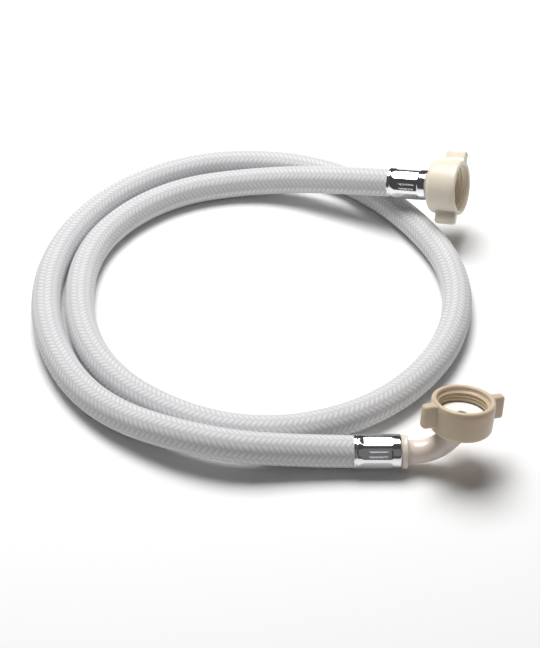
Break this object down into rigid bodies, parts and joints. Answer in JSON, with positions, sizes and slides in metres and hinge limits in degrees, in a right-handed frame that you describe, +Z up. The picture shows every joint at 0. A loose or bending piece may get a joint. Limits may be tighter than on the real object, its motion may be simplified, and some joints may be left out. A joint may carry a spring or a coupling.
{
  "type": "braided supply line",
  "caption": "Flexible braided water supply line lying in loose turns, with crimped bright ferrules, a straight and an elbow connector, and plastic wing nuts that spin freely.",
  "frame": {"origin": "on the floor, below the middle of the box round the two end fittings (ferrules, tails, nuts and washers); the hose itself is left out of that box", "axes": "+Z up from the floor the hose lies on; +Y from the elbow connector towards the straight one; the coil of hose lies towards -X, and both nuts lie at the +X ends of the line"},
  "size_m": [0.2514, 0.2755, 0.0503],
  "materials": {
    "braided_jacket": "matte",
    "liner_plastic": "satin",
    "ferrule_steel": "polished",
    "tail_plastic": "gloss",
    "ivory_plastic": "semi-gloss",
    "tan_plastic": "semi-gloss",
    "gasket_rubber": "matte"
  },
  "bodies": {
    "hose_line": {"hose_liner": "liner_plastic", "hose_braid": "braided_jacket", "straight_ferrule": "ferrule_steel", "straight_tail": "tail_plastic", "straight_gasket": "gasket_rubber", "elbow_ferrule": "ferrule_steel", "elbow_tail": "tail_plastic", "elbow_gasket": "gasket_rubber"},
    "straight_nut": {"straight_nut": "ivory_plastic"},
    "elbow_nut": {"elbow_nut": "tan_plastic"}
  },
  "joints": [
    {"name": "straight_nut_spin", "type": "hinge", "parent": "hose_line", "child": "straight_nut", "pos_m": [0.01531, 0.09647, 0.03157], "axis": [0.912, -0.3715, 0.1738], "continuous": true},
    {"name": "elbow_nut_spin", "type": "hinge", "parent": "hose_line", "child": "elbow_nut", "pos_m": [0.01455, -0.0988, 0.02183], "axis": [0.061, 0.2364, 0.9697], "continuous": true}
  ]
}
